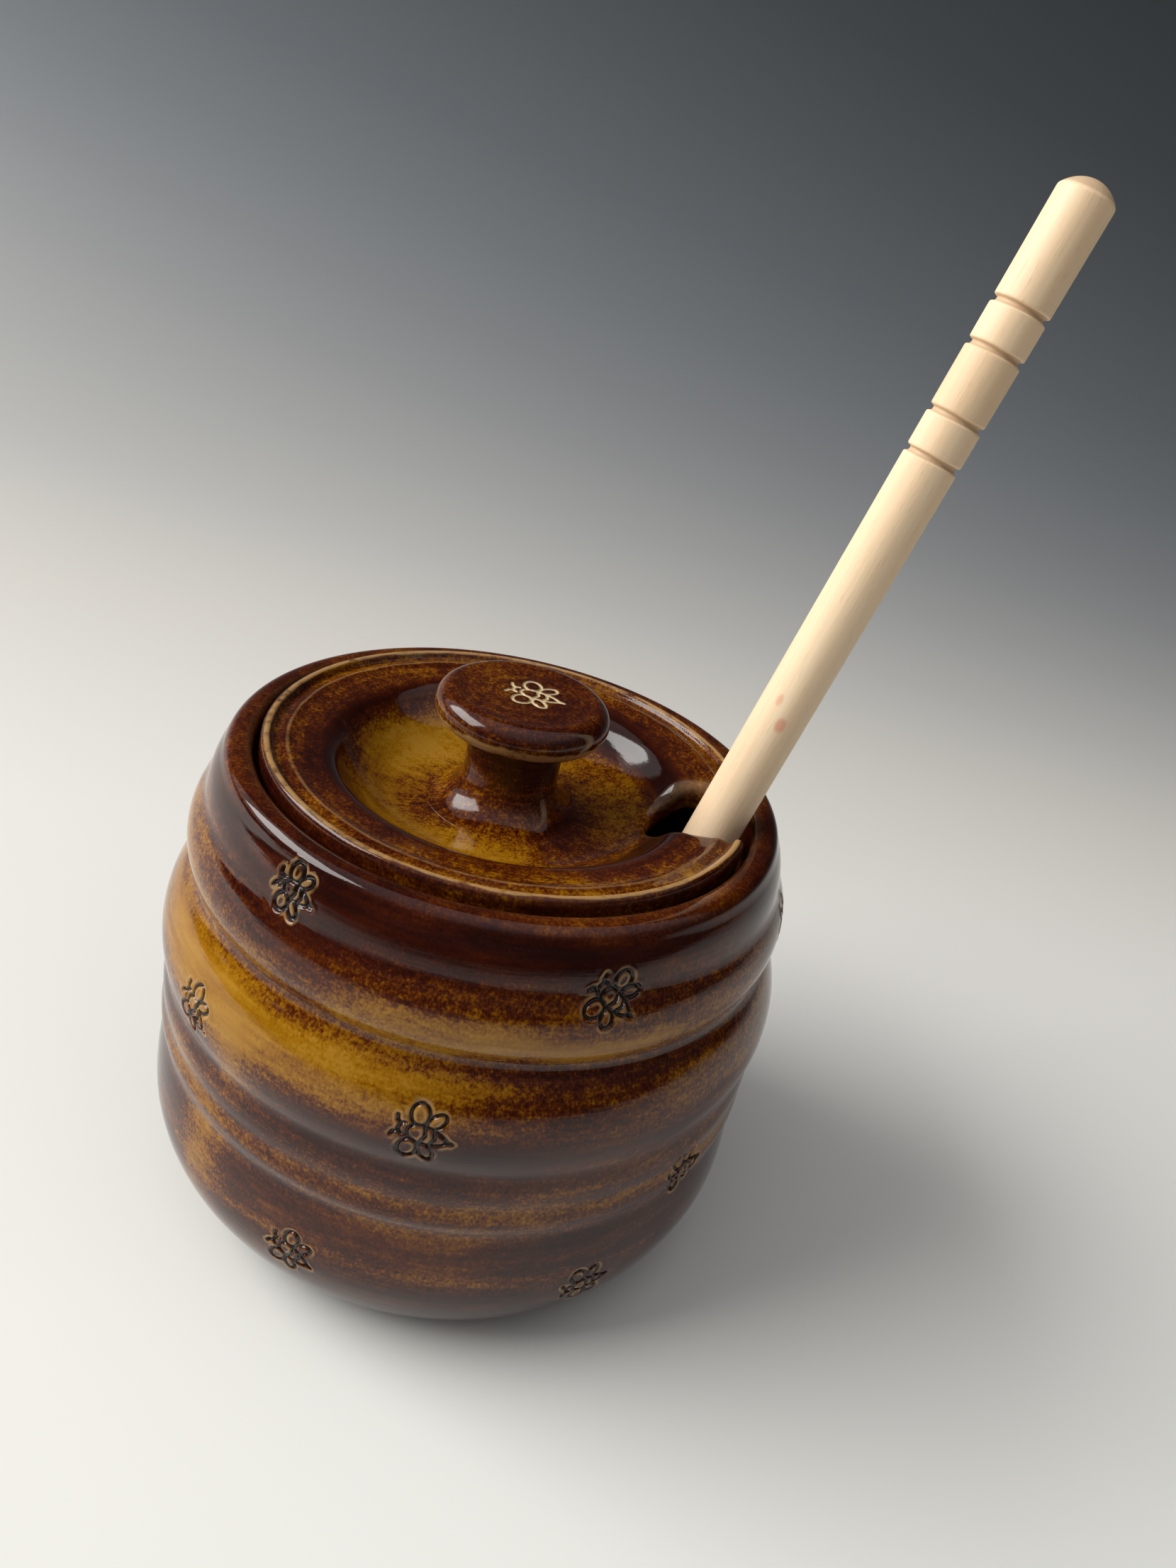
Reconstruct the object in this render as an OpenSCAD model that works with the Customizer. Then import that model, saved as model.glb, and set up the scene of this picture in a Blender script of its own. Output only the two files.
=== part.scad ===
/* [Pot rings, counted up from the base] */
// Radius of the lowest ring at its widest line
belly_radius = 49.6; // [44:0.2:58]
// Distance of the foot's edge inside the widest line
foot_inset = 12.1; // [9:0.1:16]
// Height of that widest line above the base
belly_height = 19; // [16:0.5:23]
// Height of the lowest ring
bottom_ring_height = 29.2; // [27:0.2:34]
// Height of the narrow bead above it
bead_height = 4.9; // [4:0.1:6.5]
// Height of the low ring above the bead
low_ring_height = 6.7; // [6:0.1:9]
// Height of the big middle ring
middle_ring_height = 17.2; // [15:0.2:20]
// Height of the ring under the collar
upper_ring_height = 11.5; // [10:0.5:14]
// Height of the collar, up to the top of the lip
collar_height = 8.7; // [8:0.1:11]
// Distance of the groove under the bead inside the widest line
bead_groove_inset = 1; // [0.5:0.05:2]
// Distance of the groove over the bead inside that line
low_groove_inset = 0.75; // [0.3:0.05:1.6]
// Distance of the groove under the middle ring inside it
middle_groove_inset = 0.85; // [0.3:0.05:1.8]
// Distance of the groove over the middle ring inside it
upper_groove_inset = 4.15; // [3.2:0.05:5]
// Distance of the groove under the collar inside it
collar_groove_inset = 4.6; // [3.7:0.1:5.1]
// Radius of the bead's curve
bead_curve = 4.5; // [3.5:0.1:8]
// Radius of the low ring's curve
low_ring_curve = 10; // [6:0.5:16]
// Radius of the middle ring's curve
middle_ring_curve = 16; // [12:0.5:24]
// Radius of the curve of the ring under the collar
upper_ring_curve = 9.5; // [8:0.5:16]
// Radius of the collar's curve
collar_curve = 14; // [9:0.5:24]
// Radius that the glaze fills in the two wide grooves
wide_groove_fill = 1.6; // [0.6:0.1:2.5]
// Radius that the glaze fills in the three narrow grooves
narrow_groove_fill = 0.8; // [0.4:0.1:1.2]

/* [Pot mouth and inside] */
// Distance of the lip's outside inside the widest line
lip_inset = 6.55; // [6:0.05:7]
// Thickness of the lip, between its outside and the mouth
lip_thickness = 4.65; // [4.2:0.05:6]
// Radius of the lip's inner round
lip_inner_round = 1.4; // [0.8:0.1:1.8]
// Radius of the lip's outer round
lip_outer_round = 2.2; // [1.2:0.1:2.6]
// Depth of the shelf that the lid sits on, below the lip
shelf_depth = 5.6; // [4.6:0.1:6.4]
// Width of that shelf
shelf_width = 2.1; // [1.8:0.1:3]
// Thickness of the side wall
wall = 5.4; // [4.5:0.1:6.5]
// Thickness of the floor
floor_thickness = 6; // [4.5:0.5:8]
// Radius of the inside corner at the floor
floor_curve = 16; // [10:0.5:20]
// Radius of the inside curve below the shoulder
shoulder_curve = 14; // [11:0.5:18]

/* [Lid] */
// Gap all round between the lid's edge and the mouth
lid_gap = 0.6; // [0.3:0.1:1.2]
// Height of the lid's edge bead above the lip
lid_rise = 1.2; // [0:0.1:2.5]
// Radius of the edge bead's round
edge_bead = 0.9; // [0.5:0.1:1.4]
// Bevel under the lid's edge
seat_bevel = 0.4; // [0.2:0.1:0.8]
// Distance of the second ridge inside the lid's edge
ridge_inset = 4; // [3.2:0.1:4.8]
// Radius of the second ridge's round
ridge_round = 0.8; // [0.4:0.1:1]
// Drop of the ridge below the edge bead
ridge_drop = 0.7; // [0.3:0.1:1.2]
// Width of the lid's ring, from its edge to the dish
ring_width = 7.9; // [6.8:0.1:9.8]
// Radius of the round by which the ring runs into the dish
dish_lip_round = 5; // [2:0.5:7]
// Depth of the dish below the edge bead
dish_depth = 8; // [6:0.5:9]
// Radius of the curve of the dish's side
dish_curve = 14; // [10:0.5:16]
// Thickness of the lid under the dish
lid_thickness = 4.8; // [3.5:0.1:6]

/* [Notch for the dipper] */
// Width of the notch
notch_width = 14.6; // [14.4:0.2:17]
// Distance of its centre line beside the lid's middle
notch_side = 0.9; // [0.7:0.1:1.4]
// Length of the notch, inwards from the lid's edge
notch_length = 15; // [12.8:0.2:16.8]
// Rounding of the two corners where the notch meets the edge
notch_corner = 1.6; // [1:0.1:4]

/* [Knob] */
// Radius of the knob
knob_radius = 13.5; // [11:0.5:16]
// Height of the knob above the floor of the dish
knob_height = 18.7; // [16:0.1:24]
// Radius of the knob's round edge, half its thickness
knob_edge = 2.9; // [2:0.1:3.5]
// Depth of the hollow in the knob's top
knob_hollow = 0.4; // [0.2:0.1:0.8]
// Radius of the stem
stem_radius = 7.5; // [6:0.5:8.5]
// Radius of the sweep from the stem out onto the dish
stem_foot_curve = 5.5; // [3:0.5:7]
// Radius of the sweep from the stem to the knob's underside
stem_neck_curve = 2.4; // [1:0.1:3]

/* [Dipper handle] */
// Length of the whole dipper
dipper_length = 170; // [150:1:190]
// Diameter of the dowel
handle_diameter = 8; // [6:0.5:9]
// Angle at which it leans away from upright
dipper_lean = 15; // [12:1:17]
// Direction of the lean, turned from the notch's centre line
dipper_turn = 28; // [10:1:32]
// Place beside the notch's centre line where the dowel touches the shelf
dipper_side = -1.9; // [-2.1:0.1:0]
// Length of the rounded end piece above the top groove
end_piece = 16.2; // [12:0.2:20]
// Height of the rounded end's dome
end_dome = 2.1; // [1:0.1:3.5]
// Length of the two short beads between grooves
short_bead = 4.8; // [3:0.1:7]
// Length of the long bead between them
long_bead = 8.3; // [6:0.1:12]
// Width of each turned groove
turned_groove = 1; // [0.6:0.1:1.6]
// Depth of each turned groove
turned_depth = 0.9; // [0.4:0.1:1.3]
// Size of the small bevels on the two short beads
bead_bevel = 0.7; // [0.2:0.1:0.9]

/* [Dipper head] */
// Radius of the head at its middle
head_radius = 10; // [9:0.5:11]
// Radius that the head tapers to at its two ends
head_end_radius = 7; // [6:0.5:8]
// Radius of the core inside the grooves
head_core_radius = 4.8; // [4:0.1:5.5]
// Number of ridges
ridge_count = 6; // [4:1:7]
// Thickness of each ridge
head_ridge = 3.4; // [2.6:0.1:4]
// Gap between two ridges, where the honey clings
head_groove = 2.6; // [1.8:0.1:3]
// Length of the plain collar on top of the head
head_collar = 3; // [2:0.5:5]
// Radius of the peg by which the handle is glued into the head
peg_radius = 3; // [2:0.1:3.4]
// Length of that peg
peg_length = 14; // [8:0.5:18]

/* [Clearances] */
// Gap between pieces that only rest on each other
rest_gap = 0.3; // [0.2:0.05:0.5]
// Gap between the lid's underside and the shelf
seat_gap = 0.1; // [0.05:0.05:0.2]
// Glue gap round the peg
glue_gap = 0.05; // [0.02:0.01:0.1]

/* [Hidden] */
$fn = 180;

// Radii of the pot, inwards from the widest line
foot_radius = belly_radius - foot_inset;
lip_radius = belly_radius - lip_inset;
mouth_radius = lip_radius - lip_thickness;

// Heights of the grooves, stacked up from the base
bead_groove_z = bottom_ring_height;
low_groove_z = bead_groove_z + bead_height;
middle_groove_z = low_groove_z + low_ring_height;
upper_groove_z = middle_groove_z + middle_ring_height;
collar_groove_z = upper_groove_z + upper_ring_height;
pot_top = collar_groove_z + collar_height;

// The groove points as [radius, height], and the point where the collar runs into the lip
bead_groove = [belly_radius - bead_groove_inset, bead_groove_z];
low_groove = [belly_radius - low_groove_inset, low_groove_z];
middle_groove = [belly_radius - middle_groove_inset, middle_groove_z];
upper_groove = [belly_radius - upper_groove_inset, upper_groove_z];
collar_groove = [belly_radius - collar_groove_inset, collar_groove_z];
lip_foot = [lip_radius, pot_top - lip_outer_round];

// The mouth: lip, shelf, neck below it, and the lid's own edge
lip_z = pot_top - lip_inner_round;
shelf_z = pot_top - shelf_depth;
neck_radius = mouth_radius - shelf_width;
lid_radius = mouth_radius - lid_gap;
ridge_radius = lid_radius - ridge_inset;
dish_radius = lid_radius - ring_width;
notch_end = lid_radius - notch_length;

// The lid's levels
lid_top = pot_top + lid_rise;
lid_seat = shelf_z + seat_gap;
dish_floor = lid_top - dish_depth;
lid_bottom = dish_floor - lid_thickness;

// The dowel leans on the shelf's inner edge, and the tip of its head stands on the floor
handle_radius = handle_diameter / 2;
rest_reach = neck_radius - handle_radius / cos(dipper_lean) - rest_gap;
rest_x = sqrt(rest_reach * rest_reach - dipper_side * dipper_side);
tip_ridge_radius = ridge_size(0);
tip_dip = (tip_ridge_radius - head_ridge / 2) * sin(dipper_lean) + head_ridge / 2 * (1 - cos(dipper_lean));
dipper_drop = (shelf_z - floor_thickness - rest_gap - tip_dip) / cos(dipper_lean);
head_length = ridge_count * head_ridge + (ridge_count - 1) * head_groove + head_collar;

// Centre of the arc of radius r that bulges outwards from the point p up to the point q
function arc_centre(p, q, r) =
    let (chord = norm(q - p), along = (q - p) / chord)
    (p + q) / 2 + [-along.y, along.x] * sqrt(r * r - chord * chord / 4);

// Centre of the fillet of radius f that lies in the outer corner between two discs
function fillet_centre(c1, r1, c2, r2, f) =
    let (d = norm(c2 - c1), along = (c2 - c1) / d)
    let (reach = ((r1 + f) * (r1 + f) - (r2 + f) * (r2 + f) + d * d) / (2 * d))
    let (side = sqrt((r1 + f) * (r1 + f) - reach * reach))
    c1 + along * reach + [along.y, -along.x] * side;

// Radius of the circle with an upright tangent at [wide, z], which also passes through the point p
function belly_curve(wide, z, p) =
    ((p.y - z) * (p.y - z) + (wide - p.x) * (wide - p.x)) / (2 * (wide - p.x));

// Radius of one ridge of the dipper's head, fullest in the middle
function ridge_size(i) =
    head_end_radius + (head_radius - head_end_radius) * sin(180 * (i + 0.5) / ridge_count);

// The two curves of the lowest ring, above and below its widest line
belly_up = belly_curve(belly_radius, belly_height, bead_groove);
belly_down = belly_curve(belly_radius, belly_height, [foot_radius, 0]);
belly_up_centre = [belly_radius - belly_up, belly_height];
belly_down_centre = [belly_radius - belly_down, belly_height];

// The rings' arcs
bead_centre = arc_centre(bead_groove, low_groove, bead_curve);
low_ring_centre = arc_centre(low_groove, middle_groove, low_ring_curve);
middle_ring_centre = arc_centre(middle_groove, upper_groove, middle_ring_curve);
upper_ring_centre = arc_centre(upper_groove, collar_groove, upper_ring_curve);
collar_centre = arc_centre(collar_groove, lip_foot, collar_curve);

// One ring of the wall: a disc kept between two heights
module ring_band(centre, r, z_low, z_high)
    intersection() {
        translate(centre) circle(r);
        translate([0, z_low]) square([centre.x + r, z_high - z_low]);
    }

// The glaze that rounds a groove between two rings
module groove_fillet(c1, r1, c2, r2, f) {
    fillet = fillet_centre(c1, r1, c2, r2, f);
    difference() {
        polygon([c1, fillet, c2]);
        translate(fillet) circle(f);
    }
}

// The outside of the pot as a half section, solid to the axis
module pot_outline()
    intersection() {
        union() {
            ring_band(belly_down_centre, belly_down, 0, belly_height);
            ring_band(belly_up_centre, belly_up, belly_height, bead_groove_z);
            ring_band(bead_centre, bead_curve, bead_groove_z, low_groove_z);
            ring_band(low_ring_centre, low_ring_curve, low_groove_z, middle_groove_z);
            ring_band(middle_ring_centre, middle_ring_curve, middle_groove_z, upper_groove_z);
            ring_band(upper_ring_centre, upper_ring_curve, upper_groove_z, collar_groove_z);
            ring_band(collar_centre, collar_curve, collar_groove_z, lip_foot.y);
            groove_fillet(belly_up_centre, belly_up, bead_centre, bead_curve, narrow_groove_fill);
            groove_fillet(bead_centre, bead_curve, low_ring_centre, low_ring_curve, narrow_groove_fill);
            groove_fillet(low_ring_centre, low_ring_curve, middle_ring_centre, middle_ring_curve,
                narrow_groove_fill);
            groove_fillet(middle_ring_centre, middle_ring_curve, upper_ring_centre, upper_ring_curve,
                wide_groove_fill);
            groove_fillet(upper_ring_centre, upper_ring_curve, collar_centre, collar_curve,
                wide_groove_fill);
            translate([lip_foot.x - lip_outer_round, lip_foot.y]) circle(lip_outer_round);
            translate([mouth_radius + lip_inner_round, lip_z]) circle(lip_inner_round);
            polygon([
                [0, 0], [foot_radius, 0], [belly_radius - wall, belly_height], bead_groove, low_groove,
                middle_groove, upper_groove, collar_groove, lip_foot,
                [lip_foot.x - lip_outer_round, pot_top], [mouth_radius + lip_inner_round, pot_top],
                [mouth_radius, lip_z], [0, lip_z]
            ]);
        }
        square([2 * belly_radius, pot_top]);
    }

// The inside: a round-cornered well, a sloping shoulder, the neck, and the lid's recess
module pot_inside() {
    inside_radius = belly_radius - wall;
    shoulder_x = inside_radius - shoulder_curve;
    slope_x = shoulder_x + shoulder_curve * sin(45);
    shoulder_run = upper_groove.x - wall - shoulder_x;
    shoulder_z = upper_groove_z - sqrt(shoulder_curve * shoulder_curve - shoulder_run * shoulder_run);
    slope_z = shoulder_z + shoulder_curve * sin(45);
    floor_centre = [inside_radius - floor_curve, floor_thickness + floor_curve];
    ring_band(floor_centre, floor_curve, floor_thickness, floor_centre.y);
    translate([0, floor_thickness]) square([floor_centre.x, floor_curve]);
    translate([0, floor_centre.y]) square([inside_radius, shoulder_z - floor_centre.y]);
    ring_band([shoulder_x, shoulder_z], shoulder_curve, shoulder_z, slope_z);
    polygon([
        [0, shoulder_z], [shoulder_x, shoulder_z], [slope_x, slope_z],
        [neck_radius, slope_z + slope_x - neck_radius], [neck_radius, pot_top], [0, pot_top]
    ]);
    translate([0, shelf_z]) square([mouth_radius, pot_top]);
}

module pot_body()
    color("#5b3216")
    rotate_extrude()
    difference() {
        pot_outline();
        pot_inside();
    }

// The lid's half section: bowl, seat, edge bead and second ridge, hollowed by the dish
module lid_section() {
    dish_rim_z = lid_top - 2 * ridge_drop;
    side_z = dish_floor + dish_curve;
    both_curves = dish_curve + dish_lip_round;
    lip_centre_z = dish_rim_z - dish_lip_round;
    side_run = sqrt(both_curves * both_curves - (side_z - lip_centre_z) * (side_z - lip_centre_z));
    floor_radius = dish_radius - side_run;
    lip_share = dish_curve / both_curves;
    dish_side = [floor_radius + side_run * lip_share, side_z - (side_z - lip_centre_z) * lip_share];
    ridge_z = lid_top - ridge_drop - ridge_round;
    difference() {
        union() {
            ring_band([floor_radius, side_z], dish_curve + lid_thickness, lid_bottom, dish_rim_z - edge_bead);
            translate([0, lid_bottom]) square([floor_radius, 2 * lid_thickness]);
            polygon([
                [floor_radius, lid_seat], [lid_radius - seat_bevel, lid_seat],
                [lid_radius, lid_seat + seat_bevel], [lid_radius, lid_top - edge_bead],
                [lid_radius - 2 * edge_bead, lid_top - 1.4 * edge_bead],
                [ridge_radius, ridge_z], [dish_radius, dish_rim_z], [floor_radius, dish_rim_z]
            ]);
            translate([lid_radius - edge_bead, lid_top - edge_bead]) circle(edge_bead);
            translate([ridge_radius, ridge_z]) circle(ridge_round);
        }
        translate([floor_radius, side_z]) circle(dish_curve);
        translate([0, dish_floor]) square([floor_radius, lid_top]);
        difference() {
            polygon([
                [floor_radius, side_z], dish_side, [dish_radius, dish_rim_z], [dish_radius, side_z]
            ]);
            translate([dish_radius, lip_centre_z]) circle(dish_lip_round);
        }
    }
}

// The notch seen from above: a slot with a round end, its two outer corners rounded off
module notch_outline() {
    half = notch_width / 2;
    past_edge = lid_radius + notch_corner;
    corner_run = lid_radius - notch_corner;
    translate([notch_end + half, notch_side]) circle(half);
    translate([notch_end + half, notch_side - half]) square([past_edge - notch_end, notch_width]);
    for (side = [-1, 1]) {
        corner_y = notch_side + side * (half + notch_corner);
        corner = [sqrt(corner_run * corner_run - corner_y * corner_y), corner_y];
        corner_out = corner * lid_radius / corner_run;
        difference() {
            polygon([
                [corner.x, notch_side], [past_edge, notch_side], [past_edge, corner_out.y],
                corner_out, corner
            ]);
            translate(corner) circle(notch_corner);
        }
    }
}

module lid()
    color("#7a4a17")
    difference() {
        rotate_extrude() lid_section();
        translate([0, 0, lid_bottom - 1]) linear_extrude(lid_top - lid_bottom + 2) notch_outline();
    }

// The knob is thrown by itself and stuck to the floor of the dish before firing
module lid_knob() {
    knob_top = dish_floor + knob_height;
    knob_under = knob_top - 2 * knob_edge;
    edge_x = knob_radius - knob_edge;
    hollow_curve = (edge_x * edge_x + knob_hollow * knob_hollow) / (2 * knob_hollow);
    color("#6b3c18")
    rotate_extrude()
    difference() {
        union() {
            translate([edge_x, knob_top - knob_edge]) circle(knob_edge);
            translate([0, knob_under]) square([edge_x, 2 * knob_edge]);
            translate([0, dish_floor]) square([stem_radius, knob_height - knob_edge]);
            difference() {
                translate([0, dish_floor]) square([stem_radius + stem_foot_curve, stem_foot_curve]);
                translate([stem_radius + stem_foot_curve, dish_floor + stem_foot_curve])
                    circle(stem_foot_curve);
            }
            difference() {
                translate([0, knob_under - stem_neck_curve])
                    square([stem_radius + stem_neck_curve, stem_neck_curve]);
                translate([stem_radius + stem_neck_curve, knob_under - stem_neck_curve])
                    circle(stem_neck_curve);
            }
        }
        intersection() {
            translate([0, knob_top - knob_hollow + hollow_curve]) circle(hollow_curve);
            translate([0, knob_top - knob_hollow]) square([edge_x, knob_hollow]);
        }
    }
}

// Puts a dipper piece, built upright from its tip at the origin, in its leaning place
module in_dipper_place()
    translate([rest_x, dipper_side, shelf_z])
    rotate([0, dipper_lean, dipper_turn])
    translate([0, 0, -dipper_drop])
    children();

// A straight stretch of the dowel with bevelled ends, given from its low end up
module dowel_bead(z, length, bevel)
    translate([0, z])
    polygon([
        [0, 0], [handle_radius - bevel, 0], [handle_radius, bevel],
        [handle_radius, length - bevel], [handle_radius - bevel, length], [0, length]
    ]);

module dipper_handle() {
    end_z = dipper_length - end_piece;
    upper_bead_z = end_z - turned_groove - short_bead;
    long_bead_z = upper_bead_z - turned_groove - long_bead;
    lower_bead_z = long_bead_z - turned_groove - short_bead;
    shaft_top = lower_bead_z - turned_groove;
    dome_curve = (handle_radius * handle_radius + end_dome * end_dome) / (2 * end_dome);
    color("#e8cfa2")
    in_dipper_place()
    rotate_extrude() {
        translate([0, head_length - peg_length]) square([peg_radius, peg_length]);
        translate([0, head_length]) square([handle_radius, shaft_top - head_length]);
        translate([0, shaft_top]) square([handle_radius - turned_depth, end_z - shaft_top]);
        dowel_bead(lower_bead_z, short_bead, bead_bevel);
        dowel_bead(long_bead_z, long_bead, 0);
        dowel_bead(upper_bead_z, short_bead, bead_bevel);
        translate([0, end_z]) square([handle_radius, end_piece - end_dome]);
        ring_band([0, dipper_length - dome_curve], dome_curve, dipper_length - end_dome, dipper_length);
    }
}

module dipper_head()
    color("#e2c595")
    in_dipper_place()
    difference() {
        rotate_extrude() {
            square([head_core_radius, head_length]);
            for (i = [0 : ridge_count - 1]) {
                z = i * (head_ridge + head_groove);
                edge_x = ridge_size(i) - head_ridge / 2;
                translate([0, z]) square([edge_x, head_ridge]);
                translate([edge_x, z + head_ridge / 2]) circle(head_ridge / 2);
            }
        }
        translate([0, 0, head_length - peg_length - glue_gap])
            cylinder(h = peg_length + 1, r = peg_radius + glue_gap);
    }

pot_body();
lid();
lid_knob();
dipper_handle();
dipper_head();
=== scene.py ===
import math

import bmesh
import bpy
import numpy as np
from mathutils import Matrix, Vector


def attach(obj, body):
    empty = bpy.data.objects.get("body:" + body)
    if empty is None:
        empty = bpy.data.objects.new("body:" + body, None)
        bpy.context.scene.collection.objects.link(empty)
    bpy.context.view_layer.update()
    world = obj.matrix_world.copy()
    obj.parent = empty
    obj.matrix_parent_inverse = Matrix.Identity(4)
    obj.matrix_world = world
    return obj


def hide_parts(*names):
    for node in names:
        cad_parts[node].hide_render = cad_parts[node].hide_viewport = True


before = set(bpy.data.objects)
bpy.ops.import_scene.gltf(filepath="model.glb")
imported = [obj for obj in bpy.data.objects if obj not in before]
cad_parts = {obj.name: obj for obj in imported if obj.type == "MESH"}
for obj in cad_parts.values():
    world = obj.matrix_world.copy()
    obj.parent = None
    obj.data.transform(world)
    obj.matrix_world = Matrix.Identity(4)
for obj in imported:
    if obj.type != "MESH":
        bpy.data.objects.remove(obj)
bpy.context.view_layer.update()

# The camera
# It looks down at the pot by 28 degrees from 0.23 m away, tipped 14 degrees anticlockwise, with a wide lens,
# as fitted to the circles of the rim, the lid and the grooves.
CAMERA_PLACE, LENS, PAN, LOOK_DOWN, TIPPED = (0.01565, -0.1625, 0.165), 27.43, 1.23, 28.26, 13.8
camera = bpy.data.objects.new("Camera", bpy.data.cameras.new("Camera"))
bpy.context.scene.collection.objects.link(camera)
camera.data.lens = LENS
camera.data.clip_start = 0.01
camera.matrix_world = (
    Matrix.Translation(CAMERA_PLACE)
    @ Matrix.Rotation(math.radians(PAN), 4, "Z")
    @ Matrix.Rotation(math.radians(90 - LOOK_DOWN), 4, "X")
    @ Matrix.Rotation(math.radians(TIPPED), 4, "Z")
)
bpy.context.scene.camera = camera

# The pot
# Thrown stoneware, 100 mm wide: a stack of rings over a round belly, with a collar, a rolled lip and a narrow
# shelf inside it for the lid. It was thrown in one piece, stamped while soft, and fired with a runny glaze.
# The sizes of all pieces are in millimetres, and become metres where a mesh is made.
FOOT_RADIUS, BELLY_RADIUS, BELLY_Z = 37.5, 49.6, 19.0
# The grooves over the belly, as radius and height, and the curve of each ring between two of them
GROOVES = [(48.6, 29.2), (48.85, 34.1), (48.75, 40.8), (45.45, 58.0), (45.0, 69.5), (43.05, 76.0)]
RING_CURVES = [4.5, 10.0, 16.0, 9.5, 14.0]
POT_TOP, LIP_START, LIP_CENTRE, LIP_ROUND, LIP_INNER_ROUND = 78.2, 76.5, (40.85, 76.0), 2.2, 1.4
SEAT_RADIUS, SHELF_Z, NECK_RADIUS, NECK_FOOT_Z, SHOULDER_FOOT = 38.4, 72.6, 36.3, 61.75, (40.1, 57.95)
SHOULDER_CENTRE, SHOULDER_ROUND, INSIDE_RADIUS = (30.2, 48.05), 14, 44.2
FLOOR_CENTRE, FLOOR_ROUND, FLOOR_Z = (28.2, 22), 16, 6.0


def arc(centre, radius, start, end, step=0.1):
    """Points of an arc about (radius, height) between two angles in degrees."""
    count = max(3, int(abs(math.radians(end - start)) * radius / step))
    a = np.radians(np.linspace(start, end, count))
    return [(centre[0] + radius * math.cos(t), centre[1] + radius * math.sin(t)) for t in a]


def bulge(low, high, radius):
    """An arc that bulges outwards between two points of the wall."""
    p, q = np.array(low), np.array(high)
    half = np.linalg.norm(q - p) / 2
    along = (q - p) / (2 * half)
    centre = (p + q) / 2 + np.array([-along[1], along[0]]) * math.sqrt(radius**2 - half**2)
    angles = [math.degrees(math.atan2(*(v - centre)[::-1])) for v in (p, q)]
    return arc(centre, radius, *angles)


def belly(radius, height, point):
    """The curve with an upright tangent at the widest line that ends in the given point."""
    curve = ((point[1] - height) ** 2 + (radius - point[0]) ** 2) / (2 * (radius - point[0]))
    end = math.degrees(math.asin((point[1] - height) / curve))
    return arc((radius - curve, height), curve, min(end, 0), max(end, 0))


def softened(points, reach, step=0.1):
    """The profile with its corners rounded as glaze rounds them, as points a tenth of a millimetre apart."""
    points = np.array(points, float)
    run = np.r_[0, np.cumsum(np.hypot(*np.diff(points, axis=0).T))]
    even = np.arange(0, run[-1], step)
    dense = np.stack([np.interp(even, run, points[:, k]) for k in (0, 1)], 1)
    kernel = np.exp(-0.5 * (np.arange(-40, 41) * step / reach) ** 2)
    kernel /= kernel.sum()
    padded = np.r_[2 * dense[0] - dense[40:0:-1], dense, 2 * dense[-1] - dense[-2:-42:-1]]
    smooth = np.stack([np.convolve(padded[:, k], kernel, "valid") for k in (0, 1)], 1)
    smooth[[0, -1]] = points[[0, -1]]
    smooth[:, 0] = np.maximum(smooth[:, 0], 0)
    return smooth


def spaced(points, spacing):
    """Picks profile points so that their distance follows spacing(radius, height), in millimetres."""
    picked, gone = [points[0]], 0.0
    for before, point in zip(points[:-1], points[1:]):
        gone += math.hypot(*(point - before))
        if gone >= spacing(*point):
            picked.append(point)
            gone = 0.0
    picked[-1] = points[-1]
    return np.array(picked)


def turned(name, profile, around):
    """A closed solid turned about Z, from a profile in millimetres that starts and ends on the axis."""
    ring = profile[1:-1]
    a = np.arange(around) * 2 * math.pi / around
    co = np.stack(
        [ring[:, :1] * np.cos(a), ring[:, :1] * np.sin(a), ring[:, 1:] + 0 * a], -1
    ).reshape(-1, 3)
    co = np.r_[co, [[0, 0, profile[0][1]], [0, 0, profile[-1][1]]]] / 1000
    k, j = np.meshgrid(np.arange(len(ring) - 1), np.arange(around), indexing="ij")
    n = (j + 1) % around
    quads = np.stack([k * around + j, k * around + n, (k + 1) * around + n, (k + 1) * around + j], -1)
    last = (len(ring) - 1) * around
    start, end = len(co) - 2, len(co) - 1
    caps = [(start, (i + 1) % around, i) for i in range(around)]
    caps += [(end, last + i, last + (i + 1) % around) for i in range(around)]
    mesh = bpy.data.meshes.new(name)
    mesh.from_pydata(co.tolist(), [], quads.reshape(-1, 4).tolist() + caps)
    mesh.update()
    mesh.shade_smooth()
    made = bpy.data.objects.new(name, mesh)
    bpy.context.scene.collection.objects.link(made)
    return made


def pot_spacing(radius, height):
    """Fine over the lip, coarser on the outer wall and in the neck, and coarse elsewhere inside."""
    if height > 75 and radius > 38:
        return 0.4
    return 1.05 if radius > 45.1 or height > 57 else 2.6


# Up the outside, over the lip, and down the inside
wall = [(0, 0), (FOOT_RADIUS - 0.3, 0)] + belly(BELLY_RADIUS, BELLY_Z, (FOOT_RADIUS, 0))
wall += belly(BELLY_RADIUS, BELLY_Z, GROOVES[0])
for low, high, curve in zip(GROOVES, GROOVES[1:], RING_CURVES):
    wall += bulge(low, high, curve)
wall += arc(LIP_CENTRE, LIP_ROUND, 0, 90)
wall += arc((SEAT_RADIUS + LIP_INNER_ROUND, POT_TOP - LIP_INNER_ROUND), LIP_INNER_ROUND, 90, 180)
wall += [(SEAT_RADIUS, SHELF_Z), (NECK_RADIUS, SHELF_Z), (NECK_RADIUS, NECK_FOOT_Z), SHOULDER_FOOT]
wall += arc(SHOULDER_CENTRE, SHOULDER_ROUND, 45, 0)
wall += [(INSIDE_RADIUS, SHOULDER_CENTRE[1]), (INSIDE_RADIUS, FLOOR_CENTRE[1])]
wall += arc(FLOOR_CENTRE, FLOOR_ROUND, 0, -90) + [(0, FLOOR_Z)]
wall = softened(wall, 0.45)
pot = turned("pot_glazed", spaced(wall, pot_spacing), 256)

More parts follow.
